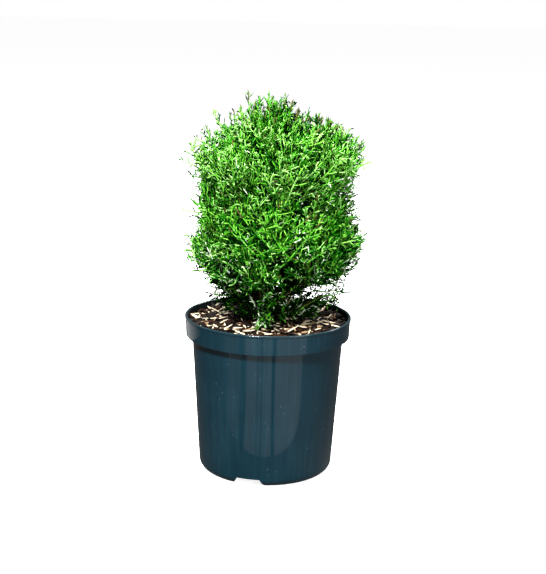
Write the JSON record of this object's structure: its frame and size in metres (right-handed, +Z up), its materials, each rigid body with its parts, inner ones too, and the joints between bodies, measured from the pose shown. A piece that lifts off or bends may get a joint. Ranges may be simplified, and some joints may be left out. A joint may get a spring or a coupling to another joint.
{
  "type": "potted thuja",
  "caption": "Young dense thuja with flat upright sprays, growing in a tapered round nursery pot with a stepped collar, notched foot and bark mulch.",
  "frame": {"origin": "centre of the pot's foot ring, on the surface that the pot stands on", "axes": "+Z up along the pot's axis to the plant's tip, -Y towards the side that is seen first, +X to that viewer's right"},
  "size_m": [0.18, 0.1828, 0.386],
  "materials": {
    "pot_plastic": "dark blue-green moulded plastic, semi-gloss, lightly scuffed",
    "growing_mix": "dark brown peat and bark growing mix, rough",
    "bark_mulch": "shredded bark and wood slivers, tan to near black, rough",
    "bark": "reddish brown bark in fine strips, matte",
    "young_bark": "smooth olive brown young bark, matte",
    "thuja_green": "scale leaves in flat sprays, fresh green, lighter at the tips, satin"
  },
  "bodies": {
    "root": {"pot": "pot_plastic", "growing_mix": "growing_mix", "bark_mulch": "bark_mulch", "trunk": "bark", "bough_high_1": "young_bark", "bough_high_2": "young_bark", "bough_high_3": "young_bark", "bough_high_4": "young_bark", "bough_high_5": "young_bark", "bough_high_6": "young_bark", "bough_high_7": "young_bark", "bough_low_1": "young_bark", "bough_low_2": "young_bark", "bough_low_3": "young_bark", "bough_low_4": "young_bark", "bough_low_5": "young_bark", "bough_low_6": "young_bark", "bough_low_7": "young_bark", "bough_mid_1": "young_bark", "bough_mid_2": "young_bark", "bough_mid_3": "young_bark", "bough_mid_4": "young_bark", "bough_mid_5": "young_bark", "bough_mid_6": "young_bark", "bough_mid_7": "young_bark", "bough_top_1": "young_bark", "bough_top_2": "young_bark", "bough_top_3": "young_bark", "foliage_high_1": "thuja_green", "foliage_high_2": "thuja_green", "foliage_high_3": "thuja_green", "foliage_high_4": "thuja_green", "foliage_high_5": "thuja_green", "foliage_high_6": "thuja_green", "foliage_high_7": "thuja_green", "foliage_leader": "thuja_green", "foliage_low_1": "thuja_green", "foliage_low_2": "thuja_green", "foliage_low_3": "thuja_green", "foliage_low_4": "thuja_green", "foliage_low_5": "thuja_green", "foliage_low_6": "thuja_green", "foliage_low_7": "thuja_green", "foliage_mid_1": "thuja_green", "foliage_mid_2": "thuja_green", "foliage_mid_3": "thuja_green", "foliage_mid_4": "thuja_green", "foliage_mid_5": "thuja_green", "foliage_mid_6": "thuja_green", "foliage_mid_7": "thuja_green", "foliage_skirt_1": "thuja_green", "foliage_skirt_2": "thuja_green", "foliage_skirt_3": "thuja_green", "foliage_skirt_4": "thuja_green", "foliage_skirt_5": "thuja_green", "foliage_skirt_6": "thuja_green", "foliage_top_1": "thuja_green", "foliage_top_2": "thuja_green", "foliage_top_3": "thuja_green"}
  },
  "joints": []
}
